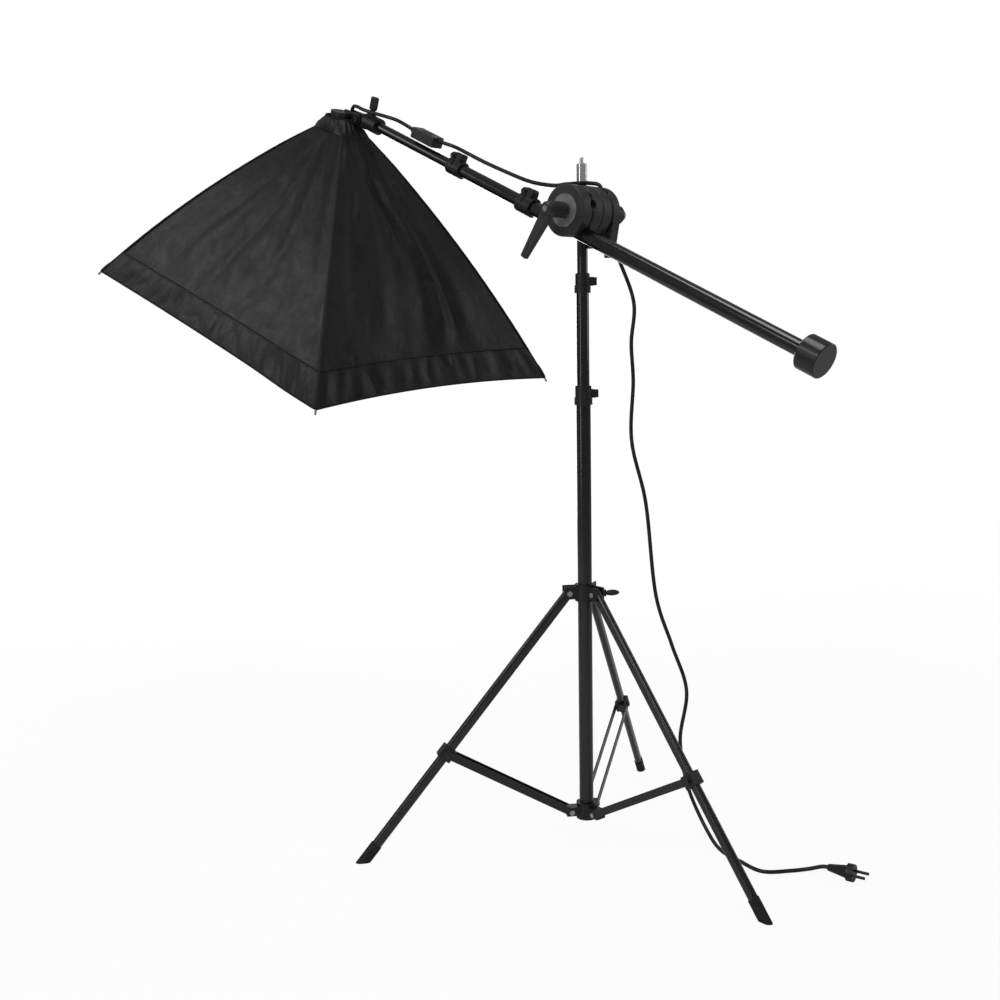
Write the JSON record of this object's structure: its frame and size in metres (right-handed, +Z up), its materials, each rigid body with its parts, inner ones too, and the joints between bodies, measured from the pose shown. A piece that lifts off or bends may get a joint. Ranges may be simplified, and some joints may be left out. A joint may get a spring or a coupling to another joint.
{
  "type": "boom softbox light",
  "caption": "Folding light stand with a counterweighted telescopic boom on a grip head, holding a tilting lamp in a rectangular black fabric softbox.",
  "frame": {"origin": "on the floor under the centre of the stand's column", "axes": "+Z up along the column; the boom lies in a plane parallel to XZ, rising towards -X, where the lamp hangs; -Y is the side of the boom and the lever"},
  "size_m": [1.397, 0.6335, 1.2073],
  "materials": {
    "black_tube": "gloss black powder coat",
    "black_plastic": "fine moulded grain",
    "cast_black": "satin black over cast aluminium",
    "lever_plastic": "dark grey moulding",
    "foot_rubber": "black rubber",
    "strip_steel": "black painted strip",
    "bolt_steel": "zinc plated",
    "spigot_chrome": "polished",
    "washer_alloy": "bead blasted",
    "weight_steel": "satin black over steel",
    "black_nylon": "woven nylon",
    "silver_cloth": "silver coated cloth",
    "white_cloth": "white diffusion cloth",
    "rib_steel": "spring steel",
    "socket_ceramic": "glazed",
    "bulb_glass": "opal glass tubes on a white base",
    "switch_plastic": "black moulding",
    "lead_pvc": "black cable jacket"
  },
  "bodies": {
    "root": {"base_hub": "black_plastic", "hub_bolts": "bolt_steel", "lower_tube": "black_tube", "lower_lock_collar": "black_plastic", "lead_drop": "lead_pvc", "lead_plug": "lead_pvc"},
    "collar": {"leg_collar": "black_plastic", "leg_collar_bolts": "bolt_steel"},
    "collar_knob": {"leg_collar_knob": "black_plastic"},
    "leg_a": {"leg_a": "black_tube", "foot_a": "foot_rubber", "leg_clip_a": "black_plastic"},
    "leg_b": {"leg_b": "black_tube", "foot_b": "foot_rubber", "leg_clip_b": "black_plastic"},
    "leg_c": {"leg_c": "black_tube", "foot_c": "foot_rubber", "leg_clip_c": "black_plastic"},
    "brace_a": {"brace_a": "strip_steel"},
    "brace_b": {"brace_b": "strip_steel"},
    "brace_c": {"brace_c": "strip_steel"},
    "lower_lock_knob": {"lower_lock_knob": "black_plastic"},
    "middle_column": {"middle_tube": "black_tube", "upper_lock_collar": "black_plastic"},
    "upper_lock_knob": {"upper_lock_knob": "black_plastic"},
    "top_column": {"top_tube": "black_tube", "column_spigot": "spigot_chrome"},
    "head_back": {"head_back_jaw": "cast_black", "head_middle_back": "cast_black", "head_bolt": "bolt_steel"},
    "head_front": {"head_front_jaw": "cast_black", "head_middle_front": "cast_black", "head_washer": "washer_alloy"},
    "lever": {"head_lever": "lever_plastic", "head_lever_screw": "bolt_steel"},
    "boom_main": {"boom_main_tube": "black_tube", "boom_clamp_main": "black_plastic", "counterweight": "weight_steel", "counterweight_stud": "bolt_steel"},
    "main_screw": {"boom_clamp_main_screw": "black_plastic"},
    "boom_middle": {"boom_middle_tube": "black_tube", "boom_clamp_middle": "black_plastic", "lead_boom": "lead_pvc"},
    "middle_screw": {"boom_clamp_middle_screw": "black_plastic"},
    "boom_tip": {"boom_end_tube": "black_tube", "switch_case": "switch_plastic", "lead_lamp": "lead_pvc"},
    "rocker": {"switch_rocker": "switch_plastic"},
    "bracket": {"bracket_receiver": "black_plastic"},
    "bracket_knob": {"bracket_receiver_knob": "black_plastic"},
    "lamp": {"lamp_holder": "black_plastic", "lamp_socket": "socket_ceramic", "rib_ring": "black_plastic", "softbox_ribs": "rib_steel", "softbox_shell": "black_nylon", "softbox_lining": "silver_cloth", "softbox_rim_band": "black_nylon", "softbox_diffuser": "white_cloth"},
    "tilt_knob": {"tilt_knob": "black_plastic"},
    "bulb": {"lamp_bulb": "bulb_glass"}
  },
  "joints": [
    {"name": "leg_fold", "type": "slide", "parent": "root", "child": "collar", "axis": [0, 0, 1], "range_m": [0, 0.1821]},
    {"name": "leg_a_pivot", "type": "hinge", "parent": "collar", "child": "leg_a", "pos_m": [-0.01521, -0.02109, 0.408], "axis": [0.8111, -0.585, 0], "range_deg": [-0.5, 35.38]},
    {"name": "brace_a_pivot", "type": "hinge", "parent": "root", "child": "brace_a", "pos_m": [-0.01521, -0.02109, 0.057], "axis": [0.8111, -0.585, 0], "range_deg": [-55.85, 0.5]},
    {"name": "leg_b_pivot", "type": "hinge", "parent": "collar", "child": "leg_b", "pos_m": [0.02587, -0.00263, 0.408], "axis": [0.1011, 0.9949, 0], "range_deg": [-0.5, 35.38]},
    {"name": "brace_b_pivot", "type": "hinge", "parent": "root", "child": "brace_b", "pos_m": [0.02587, -0.00263, 0.057], "axis": [0.1011, 0.9949, 0], "range_deg": [-55.85, 0.5]},
    {"name": "leg_c_pivot", "type": "hinge", "parent": "collar", "child": "leg_c", "pos_m": [-0.01066, 0.02371, 0.408], "axis": [-0.9121, -0.4099, 0], "range_deg": [-0.5, 35.38]},
    {"name": "brace_c_pivot", "type": "hinge", "parent": "root", "child": "brace_c", "pos_m": [-0.01066, 0.02371, 0.057], "axis": [-0.9121, -0.4099, 0], "range_deg": [-55.85, 0.5]},
    {"name": "leg_collar_knob_turn", "type": "hinge", "parent": "collar", "child": "collar_knob", "pos_m": [0, 0, 0.405], "axis": [0.585, 0.8111, 0], "range_deg": [-180, 180]},
    {"name": "lower_lock_turn", "type": "hinge", "parent": "root", "child": "lower_lock_knob", "pos_m": [0, 0, 0.715], "axis": [0.585, 0.8111, 0], "range_deg": [-180, 180]},
    {"name": "middle_slide", "type": "slide", "parent": "root", "child": "middle_column", "axis": [0, 0, 1], "range_m": [-0.13, 0.36], "deforming": ["lead_drop"]},
    {"name": "upper_lock_turn", "type": "hinge", "parent": "middle_column", "child": "upper_lock_knob", "pos_m": [0, 0, 0.883], "axis": [0.585, 0.8111, 0], "range_deg": [-180, 180]},
    {"name": "top_slide", "type": "slide", "parent": "middle_column", "child": "top_column", "axis": [0, 0, 1], "range_m": [-0.03, 0.33], "deforming": ["lead_drop"]},
    {"name": "head_swivel", "type": "hinge", "parent": "top_column", "child": "head_back", "pos_m": [0, 0, 0.98178], "axis": [0, 0, 1], "range_deg": [-180, 180], "deforming": ["lead_drop"]},
    {"name": "boom_tilt", "type": "hinge", "parent": "head_back", "child": "head_front", "pos_m": [0.023, -0.022, 0.98178], "axis": [0, -1, 0], "range_deg": [-45, 30]},
    {"name": "lever_turn", "type": "hinge", "parent": "head_front", "child": "lever", "pos_m": [0.023, -0.07, 0.98178], "axis": [0, -1, 0], "continuous": true},
    {"name": "boom_slide", "type": "slide", "parent": "head_front", "child": "boom_main", "axis": [-0.907, 0, 0.421], "range_m": [-0.035, 0.35], "deforming": ["lead_boom"]},
    {"name": "boom_main_screw_turn", "type": "hinge", "parent": "boom_main", "child": "main_screw", "pos_m": [-0.07022, -0.044, 1.01899], "axis": [0, -1, 0], "range_deg": [-180, 180]},
    {"name": "boom_middle_slide", "type": "slide", "parent": "boom_main", "child": "boom_middle", "axis": [-0.907, 0, 0.421], "range_m": [-0.12, 0.22], "deforming": ["lead_boom"]},
    {"name": "boom_middle_screw_turn", "type": "hinge", "parent": "boom_middle", "child": "middle_screw", "pos_m": [-0.22323, -0.044, 1.08836], "axis": [0, -1, 0], "range_deg": [-180, 180]},
    {"name": "boom_end_slide", "type": "slide", "parent": "boom_middle", "child": "boom_tip", "axis": [-0.907, 0, 0.421], "range_m": [-0.04, 0.14], "deforming": ["lead_boom"]},
    {"name": "switch_rocker_tilt", "type": "hinge", "parent": "boom_tip", "child": "rocker", "pos_m": [-0.28886, -0.044, 1.12985], "axis": [0, -1, 0], "range_deg": [-6, 6]},
    {"name": "bracket_roll", "type": "hinge", "parent": "boom_tip", "child": "bracket", "pos_m": [-0.40998, -0.044, 1.15631], "axis": [-0.907, 0, 0.421], "range_deg": [-90, 90], "deforming": ["lead_lamp"]},
    {"name": "bracket_knob_turn", "type": "hinge", "parent": "bracket", "child": "bracket_knob", "pos_m": [-0.43266, -0.044, 1.16683], "axis": [0.4199, -0.0722, 0.9047], "range_deg": [-180, 180]},
    {"name": "lamp_tilt", "type": "hinge", "parent": "bracket", "child": "lamp", "pos_m": [-0.45932, -0.04378, 1.17591], "axis": [-0.0304, -0.9974, -0.0655], "range_deg": [-60, 30], "deforming": ["lead_lamp"]},
    {"name": "tilt_knob_turn", "type": "hinge", "parent": "lamp", "child": "tilt_knob", "pos_m": [-0.45932, -0.04378, 1.17591], "axis": [-0.0304, -0.9974, -0.0655], "range_deg": [-180, 180]},
    {"name": "bulb_screw", "type": "hinge", "parent": "lamp", "child": "bulb", "pos_m": [-0.6223, -0.03055, 0.83624], "axis": [0.3434, -0.0719, 0.9364], "range_deg": [-360, 0]}
  ],
  "couplings": [
    {"joint": "leg_a_pivot", "follows": "leg_fold", "rad_per_m": 3.3432},
    {"joint": "brace_a_pivot", "follows": "leg_fold", "rad_per_m": -5.3054},
    {"joint": "leg_b_pivot", "follows": "leg_fold", "rad_per_m": 3.3432},
    {"joint": "brace_b_pivot", "follows": "leg_fold", "rad_per_m": -5.3054},
    {"joint": "leg_c_pivot", "follows": "leg_fold", "rad_per_m": 3.3432},
    {"joint": "brace_c_pivot", "follows": "leg_fold", "rad_per_m": -5.3054}
  ]
}
